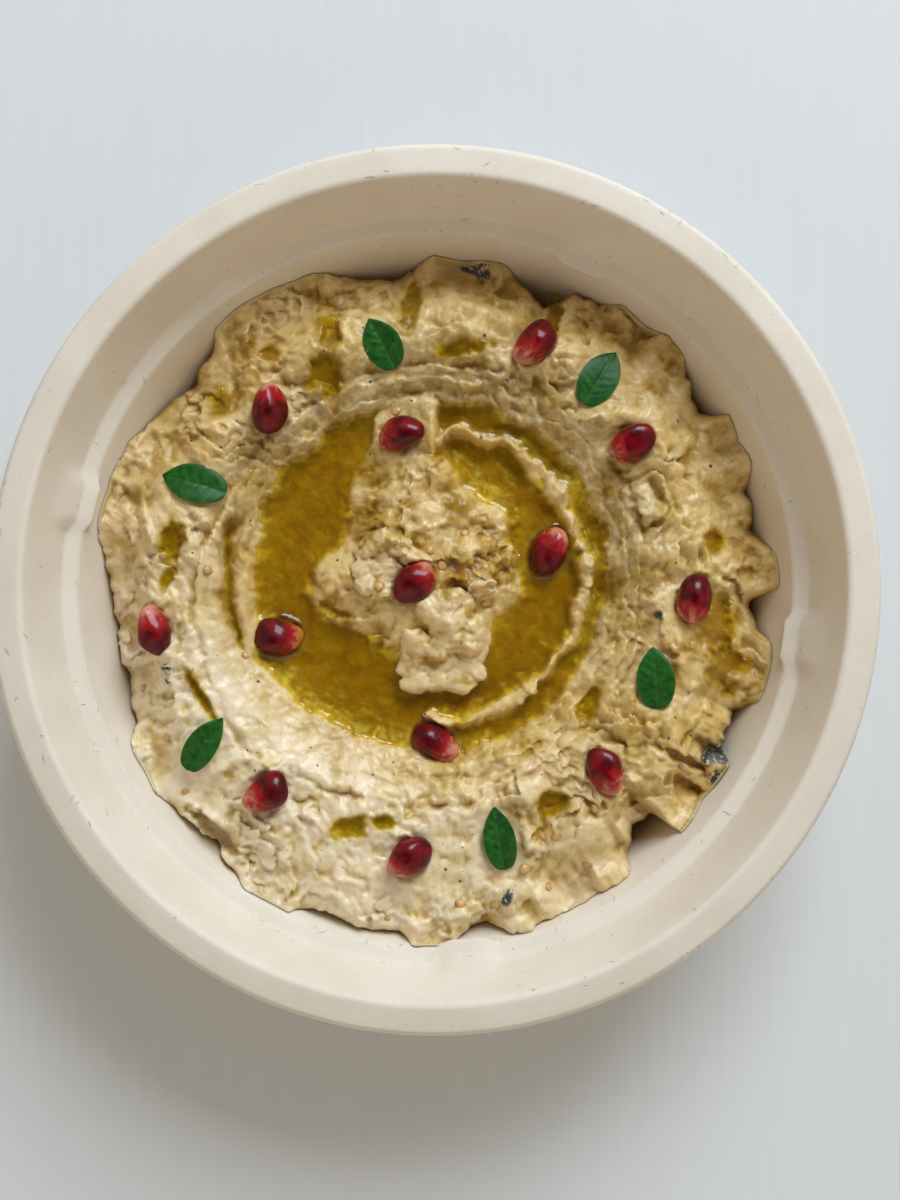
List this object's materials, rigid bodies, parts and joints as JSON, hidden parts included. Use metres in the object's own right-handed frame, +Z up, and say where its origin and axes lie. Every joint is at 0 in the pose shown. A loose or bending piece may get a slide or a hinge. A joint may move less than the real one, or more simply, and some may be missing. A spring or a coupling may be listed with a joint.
{
  "type": "baba ganoush bowl",
  "caption": "Baba ganoush in a round moulded-fibre bowl, spooned into a swirl that holds olive oil, with pomegranate arils and small herb leaves on top",
  "frame": {"origin": "middle of the bowl's base, on the surface it stands on", "axes": "Z up through the middle of the bowl; Y towards the side where the mound of dip runs out into the ring; X to the right of it"},
  "size_m": [0.185, 0.185, 0.0462],
  "materials": {
    "moulded_fibre": "matte",
    "dip": "satin",
    "olive_oil": "gloss",
    "pomegranate": "gloss",
    "herb_leaf": "satin"
  },
  "bodies": {
    "root": {"bowl": "moulded_fibre", "baba_ganoush": "dip", "olive_oil": "olive_oil", "pomegranate_aril_01": "pomegranate", "pomegranate_aril_02": "pomegranate", "pomegranate_aril_03": "pomegranate", "pomegranate_aril_04": "pomegranate", "pomegranate_aril_05": "pomegranate", "pomegranate_aril_06": "pomegranate", "pomegranate_aril_07": "pomegranate", "pomegranate_aril_08": "pomegranate", "pomegranate_aril_09": "pomegranate", "pomegranate_aril_10": "pomegranate", "pomegranate_aril_11": "pomegranate", "pomegranate_aril_12": "pomegranate", "pomegranate_aril_13": "pomegranate", "leaf_1": "herb_leaf", "leaf_2": "herb_leaf", "leaf_3": "herb_leaf", "leaf_4": "herb_leaf", "leaf_5": "herb_leaf", "leaf_6": "herb_leaf"}
  },
  "joints": []
}
